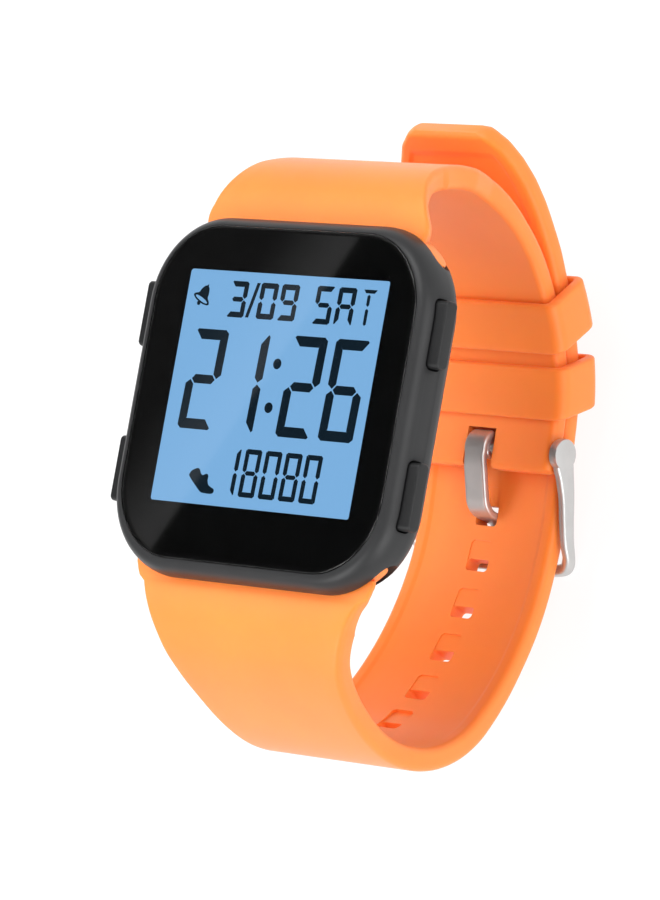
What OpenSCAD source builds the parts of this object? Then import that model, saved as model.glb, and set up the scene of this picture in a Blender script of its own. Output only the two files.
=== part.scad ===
// GPS running watch: rectangular case, strap closed on its buckle, dial up.
// The watch lies on its buckle with the dial facing +Z and 12 o'clock towards +Y.
// Every module is drawn about the middle of the case with the glass at z = 0;
// place() then lifts it so that the lowest metal of the buckle is at z = 0.

/* [Case] */
// width of the case across 9 to 3 o'clock
case_w = 45; // [40:0.5:50]
// height of the case across 12 to 6 o'clock
case_h = 42.5; // [38:0.5:48]
// radius of the case corners seen from the front
case_corner_r = 10.5; // [6:0.5:14]
// depth of the case from the glass to the back
case_t = 11; // [10:0.5:14]
// depth at which the side wall starts, below the glass
wall_top = 1.9; // [1:0.1:3]
// depth at which the side wall ends and the underside tapers in
wall_end = 3.8; // [3:0.1:5]

/* [Display] */
// width of the glass
glass_w = 41.2; // [36:0.2:44]
// height of the glass
glass_h = 39.2; // [34:0.2:42]
// how far the glass sits towards 12 o'clock
glass_shift = 0.3; // [0:0.1:1]
// width of the visible display
lcd_w = 31.6; // [24:0.2:34]
// height of the visible display
lcd_h = 27.4; // [22:0.2:32]
// how far the display sits towards 12 o'clock
lcd_shift = 0.95; // [0:0.05:2]

/* [Buttons] */
// length of a button cap
button_l = 7.8; // [6:0.1:10]
// thickness of a button cap
button_t = 1.8; // [1.4:0.1:2.4]
// distance of a button from the middle of the side
button_y = 9.25; // [7:0.25:11]
// how far a cap stands out of the side
button_proud = 1.3; // [0.6:0.1:1.4]
// radius of a button cap's corners
button_r = 0.6; // [0.3:0.1:0.8]
// press travel of a button
button_travel = 0.5; // [0.3:0.1:0.8]

/* [Strap] */
// inner radius of the upper strap and of the round part of the loop
loop_r = 25.5; // [23:0.5:30]
// strap thickness at the keepers
strap_t = 2.4; // [2:0.1:3]
// strap width at the buckle
strap_w = 22.4; // [20:0.2:24]
// tail width where it passes the buckle
tail_w = 21.8; // [19:0.2:23]
// pitch of the strap holes
hole_pitch = 6; // [5:0.25:7]
// length of a strap hole along the tail
hole_l = 2.4; // [2:0.1:3]
// width of a strap hole
hole_w = 3.4; // [2.6:0.1:4]
// length of the slope that leads the tongue into a hole
ramp_l = 2.3; // [1.5:0.1:3]

/* [Buckle] */
// overall width of the buckle frame
buckle_w = 25.2; // [24:0.2:28]
// thickness of a buckle arm
arm_t = 1.1; // [0.8:0.1:1.6]
// radius of the spring bar that carries the buckle
bar_r = 0.75; // [0.6:0.05:0.9]
// width of the tongue
tongue_w = 3.0; // [2:0.1:3.2]
// width of a keeper along the strap
keeper_l = 6.2; // [4:0.1:8]
// thickness of a keeper's inner and outer bands
keeper_t = 0.8; // [0.7:0.05:1.5]
// thickness of a keeper's sides
keeper_side = 1.5; // [1:0.05:2]

/* [Hidden] */
$fn = 64;
eps = 0.01;
run_gap = 0.05;
assert(buckle_w / 2 - arm_t > strap_w / 2 + 0.1, "the strap end must fit between the buckle arms");

// the loop: depths are below the glass
loop_y = 2.8;
loop_z = -12.1;
strap_in_z = loop_z - loop_r;
tail_r = loop_r + strap_t + 0.1;
base_z = -45;
centre_y = 0.35;

// case heights
rim_z = -0.12;
lens_t = 0.6;
mask_t = 0.1;
lcd_t = 1.5;
guide_t = 0.8;
board_z = -5.2;
board_t = 0.8;
back_z = -case_t;
back_t = 1.6;
back_top = back_z + back_t;
corner_x = case_w / 2 - case_corner_r;
corner_y = case_h / 2 - case_corner_r;
cavity_w = 34;
cavity_hi = 16;
cavity_lo = -15;
well_w = 28.4;
well_h = 27.2;
well_z = -6.4;

// strap slots in the two ends of the case
slot_top = -2.9;
slot_end = -5.95;
slot_deep = 4.4;
slot_y = 16.9;
ear_gap = 0.1;
strap_screw_x = 9;
strap_screw_y = 18.3;
strap_screw_r = 0.7;
strap_head_r = 1.2;
strap_screw_z = -7.35;

// back screws, gasket and charging contacts
back_screw_x = 13.8;
back_screw_y = 12.6;
back_screw_r = 0.7;
back_head_r = 1.3;
gasket_in = 0.2;
gasket_w = 0.7;
contact_pitch = 3;
contact_y = -10.4;
contact_r = 0.9;

// buttons, drawn for the 3 o'clock side and mirrored
button_z = -2.6;
side_x = case_w / 2;
face_x = side_x + button_proud;
cap_in = side_x - 1.0;
pocket_x = cap_in - button_travel - 0.1;
stem_r = 0.7;
bore_x = cavity_w / 2 + 1.6;
clip_t = 0.3;
clip_x = bore_x - clip_t - 0.03;
stem_end = clip_x - 0.15;
switch_x = stem_end - button_travel - 0.05;
oring_x = (bore_x + pocket_x) / 2;
oring_r = 0.35;

// buckle
pivot_y = 1.6;
pivot_z = -38.85;
pivot_r = 2.1;
arm_x = buckle_w / 2 - arm_t;
bar_y0 = -12.5;
bar_y1 = -10.5;
bar_top = -43.3;
tongue_t = 0.9;
barrel_r = 1.35;
notch_w = 4.4;
notch_y = 3.05;
strap_end_y = -0.85;

// keepers: middle angles of the inner and outer bands about the loop centre
keeper_1_in = 31;
keeper_1_out = 33.2;
keeper_2_in = 13;
keeper_2_out = 15.4;
keeper_x = strap_w / 2 + 0.25;

// An outline that turns: each step is [radius, sweep, thickness at its end];
// a step of radius 0 is straight and its second value is a length.
// Positive sweeps turn left, and the strap's outer face is on the right.
function heading(path, i, h) = i == 0 ? h
    : heading(path, i - 1, h) + (path[i - 1][0] == 0 ? 0 : path[i - 1][1]);
function step_to(p, h, s, f) = s[0] == 0
    ? p + s[1] * f * [cos(h), sin(h)]
    : p + abs(s[0]) * sign(s[1]) * [sin(h + s[1] * f) - sin(h), cos(h) - cos(h + s[1] * f)];
function start_of(path, i, p, h) = i == 0 ? p
    : step_to(start_of(path, i - 1, p, h), heading(path, i - 1, h), path[i - 1], 1);
function pieces(s) = s[0] == 0 ? 1 : max(2, ceil(abs(s[1]) / 5));
function thick(path, i, f, t0) = let (a = i == 0 ? t0 : path[i - 1][2])
    a + (path[i][2] - a) * f;
function face(path, p, h, t0, k) = [
    for (i = [0 : len(path) - 1])
        let (n = pieces(path[i]), q = start_of(path, i, p, h), g = heading(path, i, h))
            for (j = [i == 0 ? 0 : 1 : n])
                let (a = g + (path[i][0] == 0 ? 0 : path[i][1] * j / n))
                    step_to(q, g, path[i], j / n)
                    + k * thick(path, i, j / n, t0) * [sin(a), -cos(a)]
];
function rev(v) = [for (i = [len(v) - 1 : -1 : 0]) v[i]];
function ribbon(path, p, h, t0) = concat(face(path, p, h, t0, 0), rev(face(path, p, h, t0, 1)));

// inner faces of the straps in the plane [y, z]
upper_start = [strap_end_y, strap_in_z];
upper_t0 = strap_t + 0.15;
upper_path = [
    [0, 2.6, strap_t + 0.15],
    [0, loop_y - strap_end_y - 2.6, strap_t],
    [loop_r, 60, strap_t],
    [loop_r, 14, 2.8],
    [16, 40, 2.8],
    [4, 66, 2.8],
    [0, 4.4, 2.8]
];
lower_start = [-19.05, -5.4];
lower_t0 = strap_t;
lower_path = [
    [0, 2.3, strap_t],
    [5, -14, 2.5],
    [7.2, 59, 2.6],
    [21.71, 45, 2.8],
    [12.92, 49.7, 2.8],
    [36, 15, strap_t],
    [36, 29.9, strap_t],
    [0, 10.09, strap_t],
    [tail_r, 20.4, strap_t],
    [69, 22.2, strap_t]
];
// the first hole sits under the tongue, near the end of the third bend of the tail
hole_bend = 36;
hole_y = -7.9;
hole_z = -4.9;
hole_a0 = 2.6;
hole_step = hole_pitch / hole_bend * 180 / PI;

// half widths of the straps seen from the front, as [half width, y]
lower_front = [[19.3, -19], [18.9, -20.5], [18, -21.2], [16.8, -22.5], [15.9, -23.8],
    [15.3, -25.1], [14.5, -27], [13.6, -29], [12.9, -31], [12.3, -33], [12, -35.5], [12.1, -39]];
lower_back = [[12.1, -39], [12.1, -36], [11.7, -30], [11.3, -22], [tail_w / 2, -12],
    [tail_w / 2, 26], [10.5, 31], [10, 33.2], [9.1, 35.1], [7.9, 36.6], [5.6, 38.2]];
upper_front = [[19, 18.6], [18.4, 20.9], [17.9, 22], [17.3, 23], [16.4, 24], [15.5, 25],
    [14.5, 26], [13.6, 27.2], [12.9, 29], [12.7, 32]];
upper_back = [[strap_w / 2, -2], [strap_w / 2, 19], [11.6, 22], [12.2, 26], [12.7, 32]];

module place() {
    translate([0, centre_y, -base_z]) children();
}

// a rounded rectangle made of true arcs
module rounded(w, h, r) {
    square([w - 2 * r, h], center = true);
    square([w, h - 2 * r], center = true);
    for (x = [-1, 1], y = [-1, 1])
        translate([x * (w / 2 - r), y * (h / 2 - r)]) circle(r);
}

// a slab of a rounded rectangle between two heights
module slab(w, h, r, z0, z1) {
    translate([0, 0, z0]) linear_extrude(z1 - z0) rounded(w, h, r);
}

// sweeps an edge profile of [inset, z] points round the case outline
module case_solid(edge) {
    side = [for (e = edge) [case_corner_r - e[0], e[1]]];
    top = edge[0][1];
    low = edge[len(edge) - 1][1];
    for (x = [-1, 1], y = [-1, 1])
        translate([x * corner_x, y * corner_y, 0])
            rotate_extrude() polygon(concat([[0, top]], side, [[0, low]]));
    rotate([90, 0, 90])
        linear_extrude(2 * corner_x, center = true) case_section(side, corner_y);
    rotate([90, 0, 0])
        linear_extrude(2 * corner_y, center = true) case_section(side, corner_x);
}

module case_section(side, half) {
    polygon(concat(
        [for (s = side) [half + s[0], s[1]]],
        rev([for (s = side) [-half - s[0], s[1]]])
    ));
}

// extrudes a [y, z] outline across the watch between two x values
module across(x0, x1) {
    translate([x0, 0, 0]) rotate([90, 0, 90]) linear_extrude(x1 - x0) children();
}

// a round rod along x
module rod(x0, x1, y, z, r) {
    translate([x0, y, z]) rotate([0, 90, 0]) cylinder(r = r, h = x1 - x0);
}

// ---- case ----

module case_body() {
    color([0.17, 0.17, 0.18]) place() difference() {
        case_solid([[1.9, rim_z], [1.3, -0.35], [0.55, -1.0], [0, -wall_top], [0, -wall_end],
            [1.2, -5.8], [4.9, back_top]]);
        translate([0, glass_shift, 0])
            slab(glass_w + 0.1, glass_h + 0.1, 9.25, -lens_t, 1);
        translate([0, lcd_shift, 0])
            slab(36.4, 31.6, 3, -lens_t - mask_t - 0.05, -lens_t + eps);
        cavity();
        slab(well_w, well_h, 7, back_top - 1, well_z + eps);
        gasket_ring(back_top - 1, back_top + 0.6);
        for (side = [-1, 1]) scale([1, side, 1]) {
            strap_slot();
            strap_screw_holes();
        }
        for (x = [-1, 1], y = [-1, 1]) {
            translate([x * back_screw_x, y * back_screw_y, back_top - 1])
                cylinder(r = back_screw_r, h = 3.4);
            button_cut(x, y);
        }
    }
}

module cavity() {
    translate([-cavity_w / 2, cavity_lo, well_z])
        cube([cavity_w, cavity_hi - cavity_lo, -lens_t - mask_t - well_z]);
}

module strap_slot() {
    translate([0, 0, slot_end]) linear_extrude(slot_top - slot_end) difference() {
        translate([-30, -30]) square([60, 30 - slot_y]);
        rounded(case_w - 2 * slot_deep, case_h - 2 * slot_deep, case_corner_r - slot_deep);
    }
}

module strap_screw_holes() {
    for (x = [-1, 1]) translate([x * strap_screw_x, -strap_screw_y, 0]) {
        translate([0, 0, -10]) cylinder(r = strap_screw_r, h = 10 - 2);
        translate([0, 0, -10]) cylinder(r = strap_head_r + 0.1, h = 10 + strap_screw_z + 0.6);
    }
}

module button_cut(x, y) {
    scale([x, 1, 1]) translate([0, y * button_y, button_z]) {
        along_x(pocket_x, side_x + 2) rounded(button_t + 0.16, button_l + 0.16, button_r + 0.08);
        rod(cavity_w / 2 - 1, pocket_x + eps, 0, 0, stem_r + run_gap);
        rod(oring_x - oring_r, oring_x + oring_r, 0, 0, stem_r + 2 * oring_r);
        translate([cavity_w / 2 - eps, -2.6, -2]) cube([1.6 + eps, 5.2, 3.2]);
    }
}

// extrudes a [z, y] outline along x
module along_x(x0, x1) {
    translate([x0, 0, 0]) rotate([0, 90, 0]) linear_extrude(x1 - x0) children();
}

module case_back() {
    color([0.12, 0.12, 0.13]) place() difference() {
        case_solid([[5.1, back_top], [5.5, back_top - 0.7], [6.6, back_z], [10, back_z]]);
        for (x = [-1, 1], y = [-1, 1]) translate([x * back_screw_x, y * back_screw_y, 0]) {
            translate([0, 0, back_z - 1]) cylinder(r = back_screw_r + run_gap, h = 4);
            translate([0, 0, back_z - 1]) cylinder(r = back_head_r + 0.1, h = 1.8);
        }
        for (i = [-1.5 : 1 : 1.5]) translate([i * contact_pitch, contact_y, back_z - 1])
            cylinder(r = contact_r, h = 4);
        translate([0, contact_y, 0]) slab(13.4, 3.6, 1.7, back_z - 1, back_z + 0.3);
    }
}

module gasket_ring(z0, z1) {
    difference() {
        slab(well_w + 2 * (gasket_in + gasket_w), well_h + 2 * (gasket_in + gasket_w),
            7 + gasket_in + gasket_w, z0, z1);
        slab(well_w + 2 * gasket_in, well_h + 2 * gasket_in, 7 + gasket_in, z0 - 1, z1 + 1);
    }
}

module case_gasket() {
    color([0.08, 0.08, 0.08]) place() gasket_ring(back_top, back_top + 0.6);
}

module case_screws() {
    color([0.7, 0.7, 0.72]) place()
        for (x = [-1, 1], y = [-1, 1]) translate([x * back_screw_x, y * back_screw_y, 0])
            screw(back_z + 0.1, back_head_r, 0.65, back_screw_r, 3.2);
}

// a pan screw whose head faces down, with a cross recess
module screw(z, head_r, head_t, r, l) {
    translate([0, 0, z]) difference() {
        union() {
            cylinder(r = head_r, h = head_t);
            cylinder(r = r, h = l);
        }
        for (a = [0, 90]) rotate(a)
            translate([-head_r * 0.62, -0.14, -eps]) cube([head_r * 1.24, 0.28, 0.35]);
    }
}

module charge_contacts() {
    color([0.85, 0.68, 0.35]) place()
        for (i = [-1.5 : 1 : 1.5]) translate([i * contact_pitch, contact_y, back_z + 0.1])
            cylinder(r = contact_r, h = 1.45);
}

// ---- display ----

module lens() {
    color([0.1, 0.1, 0.11, 0.35]) place() translate([0, glass_shift, 0]) {
        slab(glass_w, glass_h, 9.2, -lens_t, -0.25);
        slab(glass_w - 0.5, glass_h - 0.5, 8.95, -0.25 - eps, 0);
    }
}

module lens_mask() {
    color([0.04, 0.04, 0.04]) place() translate([0, lcd_shift, 0]) difference() {
        slab(36.2, 31.4, 2.9, -lens_t - mask_t, -lens_t - eps);
        slab(lcd_w, lcd_h, 0.4, -lens_t - 1, 0);
    }
}

module lcd_panel() {
    z = -lens_t - mask_t - 0.05;
    color([0.48, 0.7, 0.9]) place() translate([0, lcd_shift, 0])
        slab(33.6, 29.4, 0.3, z - lcd_t, z);
}

module light_guide() {
    z = -lens_t - mask_t - 0.1 - lcd_t;
    color([0.85, 0.9, 0.92]) place() translate([0, lcd_shift, 0])
        slab(30, 24, 0.5, z - guide_t, z);
}

module lcd_frame() {
    z = -lens_t - mask_t - 0.1 - lcd_t;
    color([0.9, 0.9, 0.88]) place() translate([0, 0.5, 0]) difference() {
        slab(33.4, 30.4, 1, board_z + board_t + 0.05, z);
        translate([0, lcd_shift - 0.5, 0]) slab(30.2, 24.2, 0.5, -9, 0);
        for (s = [-1, 1]) translate([0, lcd_shift - 0.5 + s * 13.2, 0])
            slab(28.2, 1.6, 0.3, -9, 0);
    }
}

module zebra(s) {
    color([0.75, 0.45, 0.5]) place() translate([0, lcd_shift + s * 13.2, 0])
        slab(28, 1.4, 0.3, board_z + board_t + 0.02, -lens_t - mask_t - 0.07 - lcd_t);
}

module zebra_upper() {
    zebra(1);
}

module zebra_lower() {
    zebra(-1);
}

// ---- electronics ----

module main_board() {
    color([0.1, 0.35, 0.2]) place() translate([0, 0.5, 0])
        slab(33, 29.6, 2, board_z, board_z + board_t);
}

module processor() {
    color([0.1, 0.1, 0.1]) place() translate([-8.5, 7.5, board_z - 1])
        translate([-3.5, -3.5, 0]) cube([7, 7, 1]);
}

module gps_module() {
    color([0.75, 0.75, 0.77]) place() translate([8.8, -6.5, 0])
        slab(9, 9, 0.4, board_z - 1.15, board_z);
}

module gps_antenna() {
    color([0.8, 0.6, 0.3]) place()
        translate([-12, cavity_lo + 0.02, -4.3]) cube([24, 0.25, 2.5]);
}

module battery() {
    color([0.6, 0.62, 0.65]) place() translate([-3.8, 0, 0])
        slab(17, 21.6, 1, back_top + 0.05, board_z - 1.2);
}

module buzzer() {
    color([0.8, 0.7, 0.4]) place() translate([10, 1.5, back_top + 0.05])
        cylinder(r = 3.7, h = 1.1);
}

// ---- buttons: light and start on the left and right above, up and down below ----

module at_button(x, y) {
    place() translate([0, y * button_y, button_z]) scale([x, 1, 1]) children();
}

module button_cap(x, y) {
    color([0.15, 0.15, 0.16]) at_button(x, y) difference() {
        union() {
            along_x(cap_in, face_x - 0.25) rounded(button_t, button_l, button_r);
            along_x(face_x - 0.25 - eps, face_x)
                rounded(button_t - 0.4, button_l - 0.4, button_r - 0.2);
            rod(stem_end, cap_in + eps, 0, 0, stem_r);
        }
        difference() {
            rod(clip_x, clip_x + clip_t, 0, 0, stem_r + 1);
            rod(clip_x - 1, clip_x + clip_t + 1, 0, 0, stem_r - 0.2);
        }
    }
}

module button_light() {
    button_cap(-1, 1);
}

module button_start() {
    button_cap(1, 1);
}

module button_up() {
    button_cap(-1, -1);
}

module button_down() {
    button_cap(1, -1);
}

module clip(x, y) {
    color([0.7, 0.7, 0.72]) at_button(x, y) difference() {
        rod(clip_x, clip_x + clip_t, 0, 0, stem_r + 0.55);
        rod(clip_x - 1, clip_x + clip_t + 1, 0, 0, stem_r - 0.2);
    }
}

module clip_light() {
    clip(-1, 1);
}

module clip_start() {
    clip(1, 1);
}

module clip_up() {
    clip(-1, -1);
}

module clip_down() {
    clip(1, -1);
}

module oring(x, y) {
    color([0.06, 0.06, 0.06]) at_button(x, y) translate([oring_x, 0, 0]) rotate([0, 90, 0])
        rotate_extrude() translate([stem_r + oring_r, 0]) circle(oring_r - 0.02);
}

module oring_light() {
    oring(-1, 1);
}

module oring_start() {
    oring(1, 1);
}

module oring_up() {
    oring(-1, -1);
}

module oring_down() {
    oring(1, -1);
}

module switch(x, y) {
    color([0.8, 0.8, 0.75]) at_button(x, y) {
        translate([cavity_w / 2 - 0.15, -2, -1.2]) cube([0.35, 4, 2.3]);
        rod(cavity_w / 2 + 0.2 - eps, switch_x, 0, 0, 0.45);
    }
}

module switch_light() {
    switch(-1, 1);
}

module switch_start() {
    switch(1, 1);
}

module switch_up() {
    switch(-1, -1);
}

module switch_down() {
    switch(1, -1);
}

// ---- straps ----

// the part of a strap that sits in the case's slot, for the 6 o'clock end
module strap_ear() {
    translate([0, 0, slot_end + 0.15]) linear_extrude(2.8) difference() {
        intersection() {
            rounded(case_w - 1.2, case_h - 1.2, case_corner_r - 0.6);
            translate([-30, -30]) square([60, 30 - slot_y - 0.15]);
        }
        rounded(case_w - 2 * slot_deep + 0.2, case_h - 2 * slot_deep + 0.2,
            case_corner_r - slot_deep + 0.1);
        for (x = [-1, 1]) translate([x * strap_screw_x, -strap_screw_y])
            circle(strap_screw_r + 0.04);
    }
}

// a strip whose half width follows [half width, y] points
module outline(points, z0, z1) {
    translate([0, 0, z0]) linear_extrude(z1 - z0)
        polygon(concat(points, rev([for (p = points) [-p[0], p[1]]])));
}

module screw_clear() {
    for (x = [-1, 1]) translate([x * strap_screw_x, -strap_screw_y, -9])
        cylinder(r = strap_screw_r + 0.04, h = 9);
}

module strap_upper() {
    color([1.0, 0.5, 0.22]) place() difference() {
        union() {
            intersection() {
                across(-24, 24) polygon(ribbon(upper_path, upper_start, 0, upper_t0));
                union() {
                    outline(upper_front, -16, 0);
                    outline(upper_back, -46, -16 + eps);
                }
            }
            scale([1, -1, 1]) strap_ear();
        }
        translate([-notch_w / 2, strap_end_y - 1, -44]) cube([notch_w, notch_y + 1.85, 10]);
        rod(-15, 15, pivot_y, pivot_z, bar_r + run_gap);
        scale([1, -1, 1]) screw_clear();
    }
}

module strap_hole(p, a) {
    translate([0, p[0], p[1]]) rotate([a, 0, 0]) {
        translate([-hole_w / 2, -hole_l / 2, -6]) cube([hole_w, hole_l, 12]);
        across(-hole_w / 2, hole_w / 2) polygon([[hole_l / 2 - eps, -0.95],
            [hole_l / 2 - eps, 0.5], [hole_l / 2 + ramp_l, 0.5], [hole_l / 2 + ramp_l, 0]]);
    }
}

module strap_lower() {
    color([1.0, 0.5, 0.22]) place() difference() {
        union() {
            intersection() {
                across(-24, 24) polygon(ribbon(lower_path, lower_start, 180, lower_t0));
                union() {
                    outline(lower_front, -22.5, 0);
                    outline(lower_back, -46, -22.5 + eps);
                }
            }
            strap_ear();
        }
        for (i = [0 : 4]) let (a = hole_a0 - i * hole_step)
            strap_hole([hole_y + hole_bend * sin(a), hole_z - hole_bend * cos(a)], a);
        strap_hole([-33.1, -30.3], -52.5);
        for (i = [1 : 3]) let (a = 5 + i * hole_pitch / tail_r * 180 / PI - 10)
            strap_hole([loop_y + tail_r * sin(a), loop_z - tail_r * cos(a)], max(a, 4.6));
        screw_clear();
    }
}

module strap_screws(side) {
    color([0.7, 0.7, 0.72]) place() for (x = [-1, 1])
        translate([x * strap_screw_x, side * strap_screw_y, 0])
            screw(strap_screw_z, strap_head_r, 0.6, strap_screw_r, 5.2);
}

module strap_screws_upper() {
    strap_screws(1);
}

module strap_screws_lower() {
    strap_screws(-1);
}

// ---- buckle ----

module buckle_bar() {
    color([0.7, 0.7, 0.72]) place() rod(-arm_x - 0.7, arm_x + 0.7, pivot_y, pivot_z, bar_r);
}

// one arm of the buckle in the plane [y, z]
module arm_outline() {
    translate([pivot_y, pivot_z]) circle(pivot_r);
    polygon([[pivot_y - 0.6, pivot_z - pivot_r + 0.08], [-8.6, -44.2], [-10.2, base_z],
        [bar_y0, base_z], [bar_y0, bar_top], [-10.1, bar_top + 0.1], [-8.2, -41.9],
        [-5.0, -40.9], [-2.0, -39.75], [pivot_y - 1.35, pivot_z + pivot_r - 0.5]]);
}

module buckle_frame() {
    color([0.72, 0.72, 0.72]) place() difference() {
        intersection() {
            union() {
                for (s = [-1, 1]) scale([s, 1, 1]) across(arm_x, buckle_w / 2) arm_outline();
                translate([-buckle_w / 2, bar_y0, base_z])
                    cube([buckle_w, bar_y1 - bar_y0, bar_top - base_z]);
            }
            translate([0, 10 + bar_y0, -50]) linear_extrude(20)
                translate([0, 10]) rounded(buckle_w, 40, 2.5);
        }
        rod(-arm_x - 0.75, arm_x + 0.75, pivot_y, pivot_z, bar_r + run_gap);
        translate([-tongue_w / 2 - 0.15, bar_y0 - 1, base_z - 1])
            cube([tongue_w + 0.3, bar_y1 - bar_y0 + 2, 1 + 1.05]);
    }
}

// the tongue's centre line, from the wrist side of its barrel to the tip
tongue_start = [pivot_y, pivot_z + 0.9];
tongue_path = [
    [0, 0.8, tongue_t],
    [8, 12, tongue_t],
    [0, 3.7, tongue_t],
    [2.2, 62, tongue_t],
    [0, 2.5, tongue_t],
    [1.3, -79, 0.85],
    [0, 4.6, 0.7]
];

module buckle_tongue() {
    shift = tongue_t / 2;
    color([0.75, 0.75, 0.75]) place() difference() {
        union() {
            across(-tongue_w / 2, tongue_w / 2)
                polygon(ribbon(tongue_path, tongue_start + [0, shift], 188, tongue_t));
            rod(-tongue_w / 2, tongue_w / 2, pivot_y, pivot_z, barrel_r);
        }
        rod(-5, 5, pivot_y, pivot_z, bar_r + run_gap);
    }
}

function on_loop(r, a) = [loop_y + r * sin(a), loop_z - r * cos(a)];
function bow(r, a0, a1) = [for (i = [0 : 8]) on_loop(r, a0 + (a1 - a0) * i / 8)];

// a soft loop round both straps, its outer band dragged towards the tip
module keeper(a_in, a_out, play) {
    r_in = loop_r - 0.12;
    r_out = tail_r + strap_t + play;
    d_in = keeper_l / 2 / r_in * 180 / PI;
    d_out = keeper_l / 2 / r_out * 180 / PI;
    half = keeper_x + keeper_side;
    color([1.0, 0.52, 0.24]) place() difference() {
        across(-half, half) polygon(concat(
            bow(r_in - keeper_t, a_in - d_in, a_in + d_in),
            bow(r_out + keeper_t, a_out + d_out, a_out - d_out)));
        across(-keeper_x, keeper_x) polygon(concat(
            bow(r_in, a_in - 12, a_out + 12), bow(r_out, a_out + 12, a_in - 12)));
    }
}

module keeper_1() {
    keeper(keeper_1_in, keeper_1_out, 0.45);
}

module keeper_2() {
    keeper(keeper_2_in, keeper_2_out, 0.15);
}

case_body();
case_back();
case_gasket();
case_screws();
charge_contacts();
lens();
lens_mask();
lcd_panel();
light_guide();
lcd_frame();
zebra_upper();
zebra_lower();
main_board();
processor();
gps_module();
gps_antenna();
battery();
buzzer();
button_light();
button_start();
button_up();
button_down();
clip_light();
clip_start();
clip_up();
clip_down();
oring_light();
oring_start();
oring_up();
oring_down();
switch_light();
switch_start();
switch_up();
switch_down();
strap_upper();
strap_lower();
strap_screws_upper();
strap_screws_lower();
buckle_bar();
buckle_frame();
buckle_tongue();
keeper_1();
keeper_2();
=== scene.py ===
"""GPS running watch: the detailed visual model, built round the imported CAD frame.

Lengths below are in millimetres about the middle of the case, with the glass at z = 0;
place() turns them into metres in the shared frame.
"""
import math

import bmesh
import bpy
from mathutils import Matrix, Vector


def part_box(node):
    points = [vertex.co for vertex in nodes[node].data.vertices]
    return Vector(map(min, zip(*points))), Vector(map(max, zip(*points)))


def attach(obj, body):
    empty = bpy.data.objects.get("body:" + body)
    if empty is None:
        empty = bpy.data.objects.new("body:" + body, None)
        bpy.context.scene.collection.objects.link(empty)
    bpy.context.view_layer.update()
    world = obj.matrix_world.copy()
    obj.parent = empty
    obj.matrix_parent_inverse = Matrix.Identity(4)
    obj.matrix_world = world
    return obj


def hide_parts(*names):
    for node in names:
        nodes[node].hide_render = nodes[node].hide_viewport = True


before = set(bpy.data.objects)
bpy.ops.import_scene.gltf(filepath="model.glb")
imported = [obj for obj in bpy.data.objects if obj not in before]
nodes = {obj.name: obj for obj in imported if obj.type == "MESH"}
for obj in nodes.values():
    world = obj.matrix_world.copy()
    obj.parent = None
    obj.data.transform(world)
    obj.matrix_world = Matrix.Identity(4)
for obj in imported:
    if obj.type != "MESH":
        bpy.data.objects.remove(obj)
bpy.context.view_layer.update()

# ---------------------------------------------------------------- frame helpers

_lo, _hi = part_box("lens")
GLASS_SHIFT = 0.3
MID_Y = (_lo.y + _hi.y) / 2 * 1000 - GLASS_SHIFT
TOP_Z = _hi.z * 1000
LCD_Y = 0.95


def place(p):
    return Vector((p[0], p[1] + MID_Y, p[2] + TOP_Z)) / 1000


def lerp(a, b, t):
    return a + (b - a) * t


def smoothstep(a, b, x):
    t = min(1.0, max(0.0, (x - a) / (b - a)))
    return t * t * (3 - 2 * t)


def table(points, x):
    """Straight-line lookup in (x, value) points."""
    if x <= points[0][0]:
        return points[0][1]
    for (xa, va), (xb, vb) in zip(points, points[1:]):
        if x <= xb:
            return lerp(va, vb, (x - xa) / (xb - xa))
    return points[-1][1]


def curve(points, per=8):
    """A smooth line through the points (Catmull-Rom)."""
    pts = [Vector(p) for p in points]
    pts = [2 * pts[0] - pts[1]] + pts + [2 * pts[-1] - pts[-2]]
    out = []
    for i in range(1, len(pts) - 2):
        a, b, c, d = pts[i - 1:i + 3]
        for k in range(per):
            t = k / per
            out.append(0.5 * (2 * b + (c - a) * t + (2 * a - 5 * b + 4 * c - d) * t * t
                              + (3 * b - a - 3 * c + d) * t ** 3))
    out.append(pts[-2])
    return out


# ---------------------------------------------------------------- mesh helpers

def mesh_piece(name, verts, faces, sharp=35):
    me = bpy.data.meshes.new(name)
    me.from_pydata([place(v) for v in verts], [], faces)
    bm = bmesh.new()
    bm.from_mesh(me)
    bmesh.ops.recalc_face_normals(bm, faces=bm.faces)
    bm.to_mesh(me)
    bm.free()
    o = bpy.data.objects.new(name, me)
    bpy.context.scene.collection.objects.link(o)
    soften(o, sharp)
    return o


def soften(o, sharp=35):
    o.data.polygons.foreach_set("use_smooth", [True] * len(o.data.polygons))
    o.data.set_sharp_from_angle(angle=math.radians(sharp))


def loft(name, rings, cap=True, closed=False, sharp=35):
    n = len(rings[0])
    verts = [p for r in rings for p in r]
    faces = []
    last = len(rings) if closed else len(rings) - 1
    for i in range(last):
        a, b = i * n, (i + 1) % len(rings) * n
        for k in range(n):
            m = (k + 1) % n
            faces.append((a + k, a + m, b + m, b + k))
    if cap and not closed:
        faces.append(tuple(range(n - 1, -1, -1)))
        faces.append(tuple(range(len(verts) - n, len(verts))))
    return mesh_piece(name, verts, faces, sharp)


def arc_rect(w, h, r, n=12):
    """Rounded rectangle, counter-clockwise, as (x, y)."""
    out = []
    for cx, cy, a0 in ((w / 2 - r, h / 2 - r, 0), (-w / 2 + r, h / 2 - r, 90),
                       (-w / 2 + r, -h / 2 + r, 180), (w / 2 - r, -h / 2 + r, 270)):
        for k in range(n + 1):
            a = math.radians(a0 + 90 * k / n)
            out.append((cx + r * math.cos(a), cy + r * math.sin(a)))
    return out


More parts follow.
